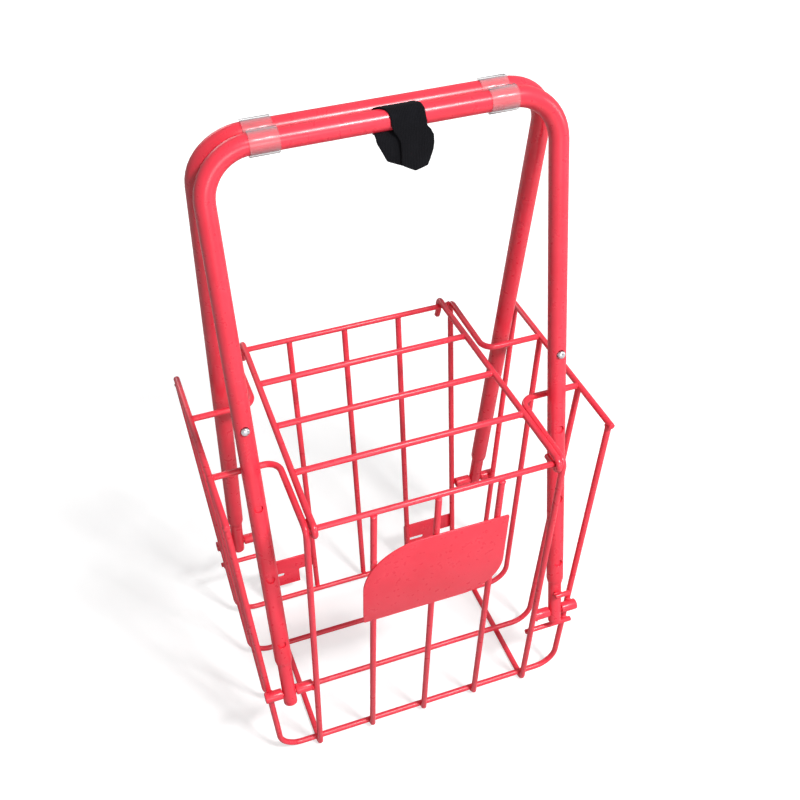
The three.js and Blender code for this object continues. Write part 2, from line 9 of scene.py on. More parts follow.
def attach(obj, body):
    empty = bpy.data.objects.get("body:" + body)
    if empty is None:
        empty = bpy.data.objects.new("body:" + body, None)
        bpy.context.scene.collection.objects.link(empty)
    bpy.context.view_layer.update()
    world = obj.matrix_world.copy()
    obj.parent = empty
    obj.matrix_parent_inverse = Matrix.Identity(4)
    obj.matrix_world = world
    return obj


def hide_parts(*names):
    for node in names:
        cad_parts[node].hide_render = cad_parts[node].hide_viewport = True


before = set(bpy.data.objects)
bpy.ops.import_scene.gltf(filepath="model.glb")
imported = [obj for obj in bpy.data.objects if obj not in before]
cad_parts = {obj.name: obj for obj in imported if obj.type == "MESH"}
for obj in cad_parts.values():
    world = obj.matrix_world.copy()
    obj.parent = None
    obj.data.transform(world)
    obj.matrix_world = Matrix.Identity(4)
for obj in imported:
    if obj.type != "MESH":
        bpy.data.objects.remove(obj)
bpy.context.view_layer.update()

# Lengths are millimetres in the CAD's frame, and become metres when a mesh is made.
MM = 0.001

# Values repeated from the part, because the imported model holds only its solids.
WIRE_R = 2.5
GAP = 0.3
WIRE_STEP = 5.3
LOOP_X = 112.0
RIM_Z = 345.0
FLOOR_Z = 2.5
U_Z = 7.8
RISE = RIM_Z - U_Z
WALL_Y = 96.8
WALL_FLARE = 27.2
OUTER_Y = 91.5
OUTER_FLARE = 3.5
INNER_Y = 30.5
INNER_FLARE = 8.9
SIDE_X = 150.0
SIDE_FLARE = 20.0
TOP_X = SIDE_X + SIDE_FLARE
OUTER_TOP_Y = OUTER_Y + OUTER_FLARE
JOG_Y = INNER_Y + INNER_FLARE
WALL_LEAN = math.atan2(WALL_FLARE, RISE)
WALL_WIRE_X = (-56, 0, 56)
RIM_Y = WALL_Y + WALL_FLARE
BAR_INSET = 7 * (1 - math.sqrt(0.5))
BAR_Y = RIM_Y - BAR_INSET
BAR_Z = RIM_Z - BAR_INSET
LID_Z = BAR_Z + WIRE_STEP
PIVOT_X = 137.9966
PIVOT_Y = 100.6109
PIVOT_Z = 110.0076
GRIP_Y = 9
HANDLE_LENGTH = 516
LEAN = math.asin((PIVOT_Y - GRIP_Y) / HANDLE_LENGTH)
STOP_Y = 97.583
STOP_Z = 83.2076
HANDLE_R = 8.0
HANDLE_BORE = 6.7
INNER_R = 6.4
INNER_BORE = 5.2
GRIP_Z = PIVOT_Z + HANDLE_LENGTH * math.cos(LEAN)
CLIP_X = 90.9966
SLEEVE_X = LOOP_X + WIRE_R + GAP

# What the coating adds to a wire's radius, and the angle in degrees up to which faces shade smooth.
COAT = 0.35
SMOOTH_UP_TO = 40


def wall_y(z):
    return WALL_Y + WALL_FLARE * (z - U_Z) / RISE


def side_x(z):
    return SIDE_X + SIDE_FLARE * (z - U_Z) / RISE


# ---------------------------------------------------------------- camera
camera = bpy.data.objects.new("camera", bpy.data.cameras.new("camera"))
bpy.context.scene.collection.objects.link(camera)
bpy.context.scene.camera = camera
camera.data.sensor_width = 36
camera.data.lens = 47.615
camera.data.shift_x = 0.02561
camera.data.shift_y = 0.01967
camera.data.clip_start = 0.05
turn = Vector((2.2594769, -0.3994128, 0.1541661))
to_world = Matrix.Rotation(turn.length, 3, turn.normalized()).transposed()
right = to_world @ Vector((1, 0, 0))
up = to_world @ Vector((0, -1, 0))
back = to_world @ Vector((0, 0, -1))
place = to_world @ Vector((-13.57799, -247.2076, -1170.50226)) * MM
camera.matrix_world = Matrix((
    (right.x, up.x, back.x, place.x),
    (right.y, up.y, back.y, place.y),
    (right.z, up.z, back.z, place.z),
    (0, 0, 0, 1),
))


# ---------------------------------------------------------------- mesh kit
def arr(*v):
    return np.array(v, float)


def unit(v):
    return v / np.linalg.norm(v)


def spun(v, axis, angle):
    c, s = math.cos(angle), math.sin(angle)
    return v * c + np.cross(axis, v) * s + axis * np.dot(axis, v) * (1 - c)


def bent_line(corners, radii, step=math.radians(7.5)):
    """Stations of a line of straight runs joined by true arcs: points and directions."""
    corners = [np.array(c, float) for c in corners]
    points, ways = [corners[0]], [unit(corners[1] - corners[0])]
    for i in range(1, len(corners) - 1):
        into = unit(corners[i] - corners[i - 1])
        out = unit(corners[i + 1] - corners[i])
        angle = math.acos(max(-1, min(1, float(np.dot(into, out)))))
        axis = unit(np.cross(into, out))
        start = corners[i] - into * radii[i] * math.tan(angle / 2)
        inward = np.cross(axis, into)
        centre = start + inward * radii[i]
        steps = max(2, math.ceil(angle / step))
        for k in range(steps + 1):
            swing = angle * k / steps
            points.append(centre + spun(-inward * radii[i], axis, swing))
            ways.append(spun(into, axis, swing))
    points.append(corners[-1])
    ways.append(unit(corners[-1] - corners[-2]))
    return points, ways


def sides_of(ways):
    """A frame carried along the line without twist."""
    helper = arr(0, 0, 1) if abs(ways[0][0]) > 0.7 else arr(1, 0, 0)
    n = unit(helper - ways[0] * np.dot(helper, ways[0]))
    made = []
    for i, w in enumerate(ways):
        if i:
            axis = np.cross(ways[i - 1], w)
            size = np.linalg.norm(axis)
            if size > 1e-9:
                n = spun(n, axis / size, math.asin(min(1, size)))
            n = unit(n - w * np.dot(n, w))
        made.append((n, np.cross(w, n)))
    return made


def ring(centre, n, b, radius, count):
    angles = np.arange(count) * 2 * math.pi / count
    return centre + radius * (np.outer(np.cos(angles), n) + np.outer(np.sin(angles), b))


def rounded(edge, steps=3):
    """Distances from an end, and how much narrower the section is there."""
    return [(edge * (1 - math.sin(a)), edge * (1 - math.cos(a)))
            for a in (math.pi / 2 * (steps - k) / steps for k in range(steps + 1))]


def loft(rings, closed):
    """Faces between rings of equal count. Open ends get a fan to their middle."""
    verts = [tuple(p) for r in rings for p in r]
    count = len(rings[0])
    faces = []
    total = len(rings)
    for i in range(total if closed else total - 1):
        a, c = i * count, (i + 1) % total * count
        for k in range(count):
            m = (k + 1) % count
            faces.append((a + k, a + m, c + m, c + k))
    if not closed:
        for base, flip in ((0, True), ((total - 1) * count, False)):
            hub = len(verts)
            verts.append(tuple(np.mean(verts[base:base + count], axis=0)))
            for k in range(count):
                m = (k + 1) % count
                faces.append((hub, base + m, base + k) if flip else (hub, base + k, base + m))
    return verts, faces


def rounding(near, edge):
    """How much a rounded end takes off the radius at a distance from the end."""
    return edge - math.sqrt(max(0, edge * edge - (edge - near) ** 2)) if near < edge else 0


def tube(corners, radii, radius, count=20, edge=0.7, bore=0, shape=None, cuts=()):
    """A wire, or with a bore a tube, with rounded ends and ring cuts at distances along it."""
    points, ways = bent_line(corners, radii)
    lengths = [0]
    for a, c in zip(points, points[1:]):
        lengths.append(lengths[-1] + float(np.linalg.norm(c - a)))
    total = lengths[-1]
    extra = {d for d, _ in rounded(edge)} | set(cuts)
    extra |= {total - d for d in extra}
    stations = sorted(set(lengths) | {d for d in extra if 0 <= d <= total})
    frames = sides_of(ways)
    outer, inner = [], []
    for s in stations:
        i = min(max(int(np.searchsorted(lengths, s)) - 1, 0), len(points) - 2)
        run = lengths[i + 1] - lengths[i]
        share = (s - lengths[i]) / run if run > 1e-9 else 0
        centre = points[i] + (points[i + 1] - points[i]) * share
        n, b = frames[i + 1] if share > 0.999999 else frames[i]
        near = min(s, total - s)
        r = shape(near) if shape else radius
        outer.append(ring(centre, n, b, r - rounding(near, edge), count))
        if bore:
            inner.append(ring(centre, n, b, bore + rounding(near, edge), count))
    if bore:
        return loft(outer + inner[::-1], True)
    return loft(outer, False)


def turned(part):
    """Half a turn about Z."""
    verts, faces = part
    return [(-x, -y, z) for x, y, z in verts], faces


def on_handle(part):
    """From a leg drawn along +Z at the pivot to its place on the leaning front handle."""
    verts, faces = part
    c, s = math.cos(LEAN), math.sin(LEAN)
    return [(x, y * c + z * s - PIVOT_Y, -y * s + z * c + PIVOT_Z) for x, y, z in verts], faces


def on_wall(part):
    """From x, up the slope and out of the wall to its place on the front wall."""
    verts, faces = part
    c, s = math.cos(WALL_LEAN), math.sin(WALL_LEAN)
    return [(x, -(WALL_Y + v * s + d * c), U_Z + v * c - d * s) for x, v, d in verts], faces


def slope_at(z):
    """Distance up the slope of the end wall."""
    return (z - U_Z) / math.cos(WALL_LEAN)


def wall_point(x, z, out):
    return on_wall(([(x, slope_at(z), out)], []))[0][0]


def lathe(profile, count=40):
    """Revolves (radius, height) pairs about Z. The profile starts and ends on the axis."""
    verts, faces = [], []
    body = profile[1:-1]
    for r, z in body:
        for k in range(count):
            a = 2 * math.pi * k / count
            verts.append((r * math.cos(a), r * math.sin(a), z))
    rows = len(body)
    for i in range(rows - 1):
        a, c = i * count, (i + 1) * count
        for k in range(count):
            m = (k + 1) % count
            faces.append((a + k, a + m, c + m, c + k))
    for base, z, flip in ((0, profile[0][1], True), ((rows - 1) * count, profile[-1][1], False)):
        hub = len(verts)
        verts.append((0, 0, z))
        for k in range(count):
            m = (k + 1) % count
            faces.append((hub, base + m, base + k) if flip else (hub, base + k, base + m))
    return verts, faces


def shifted(part, x=0, y=0, z=0):
    verts, faces = part
    return [(a + x, b + y, c + z) for a, b, c in verts], faces


def lying_back(part):
    """Turns +Z into -Y."""
    verts, faces = part
    return [(x, -z, y) for x, y, z in verts], faces


def along_x(part):
    """Turns +Z into +X."""
    verts, faces = part
    return [(z, x, y) for x, y, z in verts], faces


def joined(parts):
    verts, faces = [], []
    for v, f in parts:
        base = len(verts)
        verts += list(v)
        faces += [tuple(i + base for i in face) for face in f]
    return verts, faces


def mesh_of(name, part):
    """A mesh object whose faces point out."""
    verts, faces = part
    mesh = bpy.data.meshes.new(name)
    mesh.from_pydata([(x * MM, y * MM, z * MM) for x, y, z in verts], [], faces)
    bm = bmesh.new()
    bm.from_mesh(mesh)
    bmesh.ops.recalc_face_normals(bm, faces=bm.faces)
    bm.to_mesh(mesh)
    bm.free()
    obj = bpy.data.objects.new(name, mesh)
    bpy.context.scene.collection.objects.link(obj)
    shade(obj, SMOOTH_UP_TO)
    return obj


def shade(obj, smooth):
    obj.data.shade_smooth()
    obj.data.set_sharp_from_angle(angle=math.radians(smooth))


def apply_all(obj):
    """Replaces an object's mesh by what its modifiers make of it."""
    graph = bpy.context.evaluated_depsgraph_get()
    made = bpy.data.meshes.new_from_object(obj.evaluated_get(graph))
    obj.modifiers.clear()
    obj.data = made


def cut(obj, *parts):
    """Takes solids out of a mesh object."""
    for part in parts:
        cutter = mesh_of("cutter", part)
        modifier = obj.modifiers.new("cut", "BOOLEAN")
        modifier.operation = "DIFFERENCE"
        modifier.solver = "EXACT"
        modifier.object = cutter
        bpy.context.view_layer.update()
        apply_all(obj)
        bpy.data.objects.remove(cutter)


def bevelled(obj, width, segments=3, angle=50):
    modifier = obj.modifiers.new("edge", "BEVEL")
    modifier.width = width * MM
    modifier.segments = segments
    modifier.limit_method = "ANGLE"
    modifier.angle_limit = math.radians(angle)
    apply_all(obj)


def finish_piece(obj, material, body, slot, *nodes):
    obj.data.materials.clear()
    obj.data.materials.append(material)
    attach(obj, body)
    if nodes:
        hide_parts(*nodes)


# ---------------------------------------------------------------- materials
def new_material(name):
    material = bpy.data.materials.new(name)
    material.use_nodes = True
    tree = material.node_tree
    return material, tree, tree.nodes["Principled BSDF"]


def node(tree, kind, inputs=None, **settings):
    made = tree.nodes.new(kind)
    for key, value in settings.items():
        setattr(made, key, value)
    for key, value in (inputs or {}).items():
        if isinstance(value, bpy.types.NodeSocket):
            tree.links.new(value, made.inputs[key])
        else:
            made.inputs[key].default_value = value
    return made


def noise_of(tree, where, scale, detail=2, rough=0.5):
    made = node(tree, "ShaderNodeTexNoise", {
        "Vector": where, "Scale": scale, "Detail": detail, "Roughness": rough})
    return made.outputs["Fac"]


def spread(tree, value, low, high, from_low=0.3, from_high=0.7):
    """Maps a value to another range. Noise lies mostly between 0.3 and 0.7."""
    made = node(tree, "ShaderNodeMapRange", {
        "Value": value, "From Min": from_low, "From Max": from_high, "To Min": low, "To Max": high})
    return made.outputs["Result"]


def computed(tree, operation, a, b):
    return node(tree, "ShaderNodeMath", {0: a, 1: b}, operation=operation).outputs[0]


def object_place(tree):
    return node(tree, "ShaderNodeTexCoord").outputs["Object"]


def facing_away(tree):
    return node(tree, "ShaderNodeLayerWeight", {"Blend": 0.5}).outputs["Facing"]


def blended(tree, value, a, b):
    made = node(tree, "ShaderNodeMix", {"Factor": value}, data_type="RGBA")
    for key, colour in ((6, a), (7, b)):
        if isinstance(colour, bpy.types.NodeSocket):
            tree.links.new(colour, made.inputs[key])
        else:
            made.inputs[key].default_value = (*colour, 1)
    return made.outputs[2]


def bumped(tree, shader, height, strength, distance):
    made = node(tree, "ShaderNodeBump", {
        "Height": height, "Strength": strength, "Distance": distance * MM})
    tree.links.new(made.outputs["Normal"], shader.inputs["Normal"])


def red_coating():
    """Powder coat with a slow drift of tone, fine grain, faint specks and a low orange peel."""
    material, tree, shader = new_material("red_powder_coat")
    where = object_place(tree)
    drift = spread(tree, noise_of(tree, where, 24, 3), 0, 1)
    colour = blended(tree, drift, (0.82, 0.034, 0.060), (0.90, 0.044, 0.078))
    grain = spread(tree, noise_of(tree, where, 900, 1), 0, 0.10, 0.55, 0.8)
    colour = blended(tree, grain, colour, (0.62, 0.018, 0.034))
    cells = node(tree, "ShaderNodeTexVoronoi", {"Vector": where, "Scale": 85})
    specks = spread(tree, cells.outputs["Distance"], 0.08, 0, 0.012, 0.035)
    colour = blended(tree, specks, colour, (0.40, 0.014, 0.022))
    tree.links.new(colour, shader.inputs["Base Color"])
    rough = spread(tree, noise_of(tree, where, 160, 3), 0.26, 0.34)
    tree.links.new(rough, shader.inputs["Roughness"])
    shine = spread(tree, facing_away(tree), 0.42, 0.04, 0.25, 0.70)
    tree.links.new(shine, shader.inputs["Specular IOR Level"])
    bumped(tree, shader, noise_of(tree, where, 420, 2, 0.4), 0.09, 0.10)
    return material


def bright_steel():
    """Plated steel with fine wear."""
    material, tree, shader = new_material("bright_steel")
    where = object_place(tree)
    colour = blended(tree, noise_of(tree, where, 500, 3), (0.34, 0.34, 0.36), (0.56, 0.56, 0.58))
    tree.links.new(colour, shader.inputs["Base Color"])
    shader.inputs["Metallic"].default_value = 1
    rough = spread(tree, noise_of(tree, where, 900, 4), 0.16, 0.32)
    tree.links.new(rough, shader.inputs["Roughness"])
    bumped(tree, shader, noise_of(tree, where, 2600, 3), 0.2, 0.03)
    return material


def clear_plastic():
    """Clear, denser where the wall is seen along its depth, with painted shade along its upper rim:
    a dark reflection painted where upward faces are seen edge-on.
    """
    material, tree, shader = new_material("clear_plastic")
    where = object_place(tree)
    haze = noise_of(tree, where, 130, 3)
    colour = blended(tree, haze, (0.52, 0.48, 0.50), (0.62, 0.58, 0.60))
    facing = facing_away(tree)
    normal = node(tree, "ShaderNodeNewGeometry").outputs["Normal"]
    height = node(tree, "ShaderNodeSeparateXYZ", {0: normal}).outputs["Z"]
    # Painted shade: upward faces seen edge-on get a dark colour and more opacity, standing in for
    # the dark reflection on the clip's upper rim.
    upward = spread(tree, height, 0.25, 1, 0, 0.5)
    painted_rim_shade = computed(tree, "MULTIPLY", spread(tree, facing, 0, 1, 0.55, 0.78), upward)
    colour = blended(tree, painted_rim_shade, colour, (0.07, 0.05, 0.065))
    tree.links.new(colour, shader.inputs["Base Color"])
    tree.links.new(spread(tree, haze, 0.15, 0.21), shader.inputs["Roughness"])
    veil = computed(tree, "MAXIMUM", spread(tree, facing, 0.12, 0.50, 0.20, 0.90), painted_rim_shade)
    tree.links.new(veil, shader.inputs["Alpha"])
    shader.inputs["IOR"].default_value = 1.49
    shine = spread(tree, facing, 1, 0.04, 0.45, 0.75)
    tree.links.new(shine, shader.inputs["Specular IOR Level"])
    bumped(tree, shader, noise_of(tree, where, 120, 2), 0.05, 0.1)
    return material


def black_strap():
    """Ribbed, fuzzy hook-and-loop fabric with worn patches."""
    material, tree, shader = new_material("black_strap")
    where = object_place(tree)
    fuzz = noise_of(tree, where, 1500, 4, 0.65)
    colour = blended(tree, spread(tree, fuzz, 0, 1), (0.002, 0.002, 0.003), (0.006, 0.006, 0.008))
    worn = noise_of(tree, where, 70, 3)
    colour = blended(tree, spread(tree, worn, 0, 0.5, 0.5, 0.8), colour, (0.009, 0.009, 0.012))
    tree.links.new(colour, shader.inputs["Base Color"])
    shader.inputs["Roughness"].default_value = 0.92
    shader.inputs["Sheen Weight"].default_value = 0.03
    shader.inputs["Sheen Roughness"].default_value = 0.5
    shader.inputs["Specular IOR Level"].default_value = 0.10
    ribs = node(tree, "ShaderNodeTexWave", {
        "Vector": where, "Scale": 260, "Distortion": 1.5, "Detail": 1}, bands_direction="X")
    bumped(tree, shader, computed(tree, "ADD", fuzz, ribs.outputs["Fac"]), 0.6, 0.25)
    return material


RED = red_coating()
STEEL = bright_steel()
CLEAR = clear_plastic()
STRAP = black_strap()


# ---------------------------------------------------------------- basket wires
def wire(name, corners, radii=None, body="basket", mirror=None, coat=COAT):
    """A coated wire that stands for its CAD node, and with mirror its copy on the other side."""
    part = tube(corners, radii or [0] * len(corners), WIRE_R + coat)
    finish_piece(mesh_of(name + "_look", part), RED, body, "red_coating", name)
    if mirror:
        finish_piece(mesh_of(mirror + "_look", turned(part)), RED, body, "red_coating", mirror)


U_BEND_R = 22
U_ROWS = [(OUTER_TOP_Y, OUTER_Y), (JOG_Y, INNER_Y), (-JOG_Y, -INNER_Y), (-OUTER_TOP_Y, -OUTER_Y)]
top_z = RIM_Z - WIRE_R - GAP
for i, (top_y, floor_y) in enumerate(U_ROWS):
    wire(f"basket_u_wire_{i + 1}", [
        (-TOP_X, top_y, top_z), (-SIDE_X, floor_y, U_Z),
        (SIDE_X, floor_y, U_Z), (TOP_X, top_y, top_z)],
        [0, U_BEND_R, U_BEND_R, 0])
jog_x = TOP_X - WIRE_R - GAP
for side, label in ((-1, "left"), (1, "right")):
    x, j, foot = side * LOOP_X, side * jog_x, wall_y(FLOOR_Z)
    wire(f"basket_loop_{label}", [
        (j, -JOG_Y, RIM_Z), (x, -JOG_Y, RIM_Z), (x, -RIM_Y, RIM_Z), (x, -foot, FLOOR_Z),
        (x, foot, FLOOR_Z), (x, RIM_Y, RIM_Z), (x, JOG_Y, RIM_Z), (j, JOG_Y, RIM_Z)],
        [0, 12, 7, 5, 5, 7, 12, 0])
bar_x = LOOP_X - WIRE_R - GAP
wire("basket_front_bar", [(-bar_x, -BAR_Y, BAR_Z), (bar_x, -BAR_Y, BAR_Z)],
     mirror="basket_back_bar", coat=0.05)
top_z, end_z = BAR_Z - WIRE_R - GAP, U_Z - 0.5
for i, x in enumerate(WALL_WIRE_X):
    wire(f"basket_front_wire_{i + 1}", [(x, -wall_y(top_z), top_z), (x, -wall_y(end_z), end_z)],
         mirror=f"basket_back_wire_{3 - i}")
PAST_WIRE = 3
end_y = OUTER_TOP_Y + WIRE_R + PAST_WIRE
wire("basket_side_wire_right", [(TOP_X, -end_y, RIM_Z), (TOP_X, end_y, RIM_Z)],
     mirror="basket_side_wire_left")
stop_end_x = side_x(STOP_Z) + WIRE_R + PAST_WIRE
wire("stop_bar_front_right", [(LOOP_X - WIRE_R, -STOP_Y, STOP_Z), (stop_end_x, -STOP_Y, STOP_Z)],
     mirror="stop_bar_back_left", coat=0)


# ---------------------------------------------------------------- lid
LID_FRONT_X, LID_BACK_X = 106, 101
LID_TAIL = 16
HOOK_R = 6.2


def lid_x(y):
    return LID_FRONT_X + (LID_BACK_X - LID_FRONT_X) * (y + BAR_Y) / (2 * BAR_Y)


hook_y = BAR_Y + HOOK_R
for side, label in ((-1, "left"), (1, "right")):
    f, b = side * lid_x(-BAR_Y), side * lid_x(BAR_Y)
    wire(f"lid_side_wire_{label}", [
        (f, LID_TAIL - BAR_Y, BAR_Z - WIRE_STEP), (f, -BAR_Y - WIRE_STEP, BAR_Z - WIRE_STEP),
        (f, -BAR_Y - WIRE_STEP, LID_Z), (f, LID_TAIL - BAR_Y, LID_Z),
        (b, BAR_Y - LID_TAIL, LID_Z), (b, hook_y, LID_Z),
        (b, hook_y - GAP, BAR_Z - 8.5), (b, hook_y + 3, BAR_Z - 17)],
        [0, WIRE_STEP, WIRE_STEP, LID_TAIL, LID_TAIL, HOOK_R, 5, 0], body="lid")
LID_ROWS = [BAR_Y - 2 * BAR_Y * share for share in (0.25, 0.5, 0.75)]
for i, y in enumerate(LID_ROWS):
    x = lid_x(y) - WIRE_R - GAP
    wire(f"lid_cross_wire_{i + 1}", [(-x, y, LID_Z), (x, y, LID_Z)], body="lid")


# ---------------------------------------------------------------- welds
def bead(centre, size, toward=(0, 0, 1), lump=0.12):
    """An uneven drop of weld under paint: half sizes across, along and toward."""
    w = unit(arr(*toward))
    helper = arr(1, 0, 0) if abs(w[0]) < 0.8 else arr(0, 1, 0)
    u = unit(helper - w * np.dot(helper, w))
    v = np.cross(w, u)
    rows, count = 9, 16
    verts, faces = [], []
    for i in range(rows + 1):
        polar = math.pi * i / rows
        for k in range(count if 0 < i < rows else 1):
            a = 2 * math.pi * k / count
            d = arr(math.sin(polar) * math.cos(a), math.sin(polar) * math.sin(a), math.cos(polar))
            at = Vector((d[0] * 1.3 + centre[0] * 0.37, d[1] * 1.3 + centre[1] * 0.29,
                         d[2] * 1.3 + centre[2] * 0.23))
            scale = 1 + lump * noise.noise(at) * 2
            reach = u * d[0] * size[0] + v * d[1] * size[1] + w * d[2] * size[2]
            verts.append(tuple(arr(*centre) + reach * scale))
    starts = [0] + [1 + (i - 1) * count for i in range(1, rows)] + [1 + (rows - 1) * count]
    for k in range(count):
        m = (k + 1) % count
        faces.append((0, starts[1] + k, starts[1] + m))
        faces.append((starts[rows], starts[rows - 1] + m, starts[rows - 1] + k))
    for i in range(1, rows - 1):
        for k in range(count):
            m = (k + 1) % count
            faces.append((starts[i] + k, starts[i + 1] + k, starts[i + 1] + m, starts[i] + m))
    return verts, faces


def basket_beads():
    made = []
    for x in (-LOOP_X, LOOP_X):
        for y in (INNER_Y, -INNER_Y):
            made.append(bead((x, y, 5.15), (3.2, 3.2, 2.3)))
        for y in (-1, 1):
            made.append(bead((x, y * 94.2, 7.2), (3.4, 3.3, 3.5), lump=0.16))
            made.append(bead((x - math.copysign(3.1, x), y * BAR_Y, BAR_Z),
                             (3.2, 3.2, 2.0), (1, 0, 0)))
        # the ends of the stop bar on this side
        y = math.copysign(1, -x)
        near_x, far_x = x + math.copysign(1.5, x), math.copysign(side_x(STOP_Z), x)
        made.append(bead((near_x, y * 100.1, STOP_Z), (3.2, 3.4, 2.6), (0, 1, 0), 0.18))
        made.append(bead((far_x, y * 94.9, STOP_Z), (3.4, 3.2, 2.5), (0, 1, 0), 0.18))
    for x in WALL_WIRE_X:
        for y in (-1, 1):
            made.append(bead((x, y * 94.2, U_Z - 0.2), (3.2, 3.1, 2.6), (0, 1, 0)))
            z = BAR_Z - WIRE_R - 0.4
            made.append(bead((x, y * wall_y(z), z), (3.1, 3.1, 1.9)))
    for x in (-TOP_X, TOP_X):
        for y in (OUTER_TOP_Y, JOG_Y):
            for s in (-1, 1):
                made.append(bead((x, s * y, RIM_Z - 2.9), (3.2, 3.2, 1.9)))
        for s in (-1, 1):
            made.append(bead((math.copysign(167.6, x), s * JOG_Y, RIM_Z),
                             (3.2, 3.2, 1.8), (1, 0, 0)))
    # sleeves against the loop wires and the outer U wires
    inner_y = (PIVOT_Y + wall_y(PIVOT_Z)) / 2 + 0.6
    for sx in (-1, 1):
        outer_x = sx * side_x(PIVOT_Z)
        for sy in (-1, 1):
            made.append(bead((sx * 116.2, sy * inner_y, PIVOT_Z), (3.2, 3.6, 2.4), (1, 0, 0), 0.2))
            made.append(bead((outer_x, sy * (PIVOT_Y - 5.4), PIVOT_Z),
                             (3.4, 4.2, 2.0), (0, 1, 0), 0.2))
    # plate and brackets on the wires behind them
    for x in WALL_WIRE_X:
        for z in (219, 282):
            made.append(bead(wall_point(x, z, 2.4), (2.6, 3.4, 1.2), (0, -1, -0.08)))
    for x in (-LOOP_X, WALL_WIRE_X[0], WALL_WIRE_X[-1], LOOP_X):
        px, py, pz = wall_point(x, 47, 2.4)
        made.append(bead((px, -py, pz), (2.6, 3.6, 1.2), (0, 1, -0.08)))
    return joined(made)


def lid_beads():
    made = []
    for y in LID_ROWS:
        for s in (-1, 1):
            made.append(bead((s * (lid_x(y) - 2.9), y, LID_Z - 0.1),
                             (3.1, 3.1, 2.0), (1, 0, 0), 0.10))
            # a flatter one that runs out along the side wire
            made.append(bead((s * (lid_x(y) - 1.9), y, LID_Z - 0.2),
                             (4.4, 2.5, 1.7), (1, 0, 0), 0.08))
    return joined(made)


stop_bead = on_handle(joined([
    bead((PIVOT_X - 0.8, -6.7, 27.3), (4.4, 2.2, 2.0), (0, 0, 1), 0.2),
    bead((PIVOT_X - 0.8, -6.9, 24.6), (4.0, 2.0, 1.8), (0, 0, 1), 0.2),
]))
for name, part, body in (
        ("basket_welds", basket_beads(), "basket"),
        ("lid_welds", lid_beads(), "lid"),
        ("leg_stop_weld_front", stop_bead, "front_legs"),
        ("leg_stop_weld_back", turned(stop_bead), "back_legs")):
    finish_piece(mesh_of(name, part), RED, body, "red_coating")


# ---------------------------------------------------------------- pivots
SLEEVE_R, SLEEVE_BORE = 5.25, 3.3
PIN_R = 3


def sleeve(from_x, to_x):
    """A short tube on the pivot axis, with worn round edges."""
    line = [(from_x, -PIVOT_Y, PIVOT_Z), (to_x, -PIVOT_Y, PIVOT_Z)]
    return tube(line, [0, 0], SLEEVE_R, 32, 0.8, SLEEVE_BORE)


pin_end_x = side_x(PIVOT_Z) + 5
for corner, side, at_back in (("front_right", 1, False), ("front_left", -1, False),
                              ("back_left", 1, True), ("back_right", -1, True)):
    inner = sleeve(side * SLEEVE_X, side * (PIVOT_X - INNER_R - GAP))
    outer = sleeve(side * (PIVOT_X + INNER_R + GAP), side * pin_end_x)
    line = [(side * SLEEVE_X, -PIVOT_Y, PIVOT_Z), (side * pin_end_x, -PIVOT_Y, PIVOT_Z)]
    pin = tube(line, [0, 0], PIN_R, 28, 0.9)
    for kind, part in (("inner_sleeve", inner), ("outer_sleeve", outer), ("pivot_pin", pin)):
        name = f"{kind}_{corner}"
        obj = mesh_of(name + "_look", turned(part) if at_back else part)
        finish_piece(obj, RED, "basket", "red_coating", name)


# ---------------------------------------------------------------- handles and legs
HOLES = [294 - i * 76.2 for i in range(4)]
HANDLE_START = 38
HANDLE_BEND_R = 38
SWAGED_R = 7.15
SWAGE_LENGTH = 5
HANDLE_SMOOTH = 38


def hole_cutter(x, along, low, high=12.0):
    """A drill with a short flare that softens the rim of the hole."""
    radius = 3.9
    profile = [(0, low), (radius, low), (radius, high - 4.6), (radius + 0.18, high - 4.25),
               (radius + 0.5, high - 3.9), (radius + 0.5, high), (0, high)]
    return shifted(lying_back(lathe(profile, 36)), x, 0, along)


def swage(near):
    """The handle's radius at a distance from its end, which is drawn in."""
    share = min(1, near / SWAGE_LENGTH)
    return SWAGED_R + (HANDLE_R - SWAGED_R) * (share * share * (3 - 2 * share))


# ring cuts along the swage and beside the holes keep the surface true there
cuts = [0.8 * k for k in range(1, 8)]
for along in HOLES:
    cuts += [along - HANDLE_START + d for d in (-7, -5, -3, -1, 1, 3, 5, 7)]
path = [(-PIVOT_X, 0, HANDLE_START), (-PIVOT_X, 0, HANDLE_LENGTH),
        (PIVOT_X, 0, HANDLE_LENGTH), (PIVOT_X, 0, HANDLE_START)]
bends = [0, HANDLE_BEND_R, HANDLE_BEND_R, 0]
part = tube(path, bends, HANDLE_R, 48, 0.3, HANDLE_BORE, swage, cuts)
handle = mesh_of("handle_front_look", part)
cut(handle, joined([hole_cutter(side * PIVOT_X, along, 3) for side in (-1, 1) for along in HOLES]))


def mapped(obj, change):
    """Moves an object's points by a function that works in millimetres."""
    for v in obj.data.vertices:
        v.co = Vector(change(([tuple(v.co / MM)], []))[0][0]) * MM
    obj.data.update()
    return obj


def copy_of(obj, name, change):
    made = bpy.data.objects.new(name, obj.data.copy())
    bpy.context.scene.collection.objects.link(made)
    return mapped(made, change)


mapped(handle, on_handle)
handle_back = copy_of(handle, "handle_back_look", turned)
for obj, body, name in ((handle, "front_handle", "handle_front"),
                        (handle_back, "back_handle", "handle_back")):
    shade(obj, HANDLE_SMOOTH)
    finish_piece(obj, RED, body, "red_coating", name)


def stud_part():
    """Sprung stud along +Z from the leg's axis: a plain shank with a domed head."""
    top, shoulder, r = 10.6, 8.7, 3.5
    profile = [(0, 2.6), (r, 2.6), (r, shoulder - 0.3)]
    profile += [(r - 0.25 * (1 - math.cos(a)), shoulder - 0.3 + 0.3 * math.sin(a))
                for a in (0.5, 1.0)]
    profile += [(r * math.cos(a), shoulder + (top - shoulder) * math.sin(a)) for a in
                (math.pi / 2 * k / 10 for k in range(1, 10))]
    return lathe(profile + [(0, top)], 32)


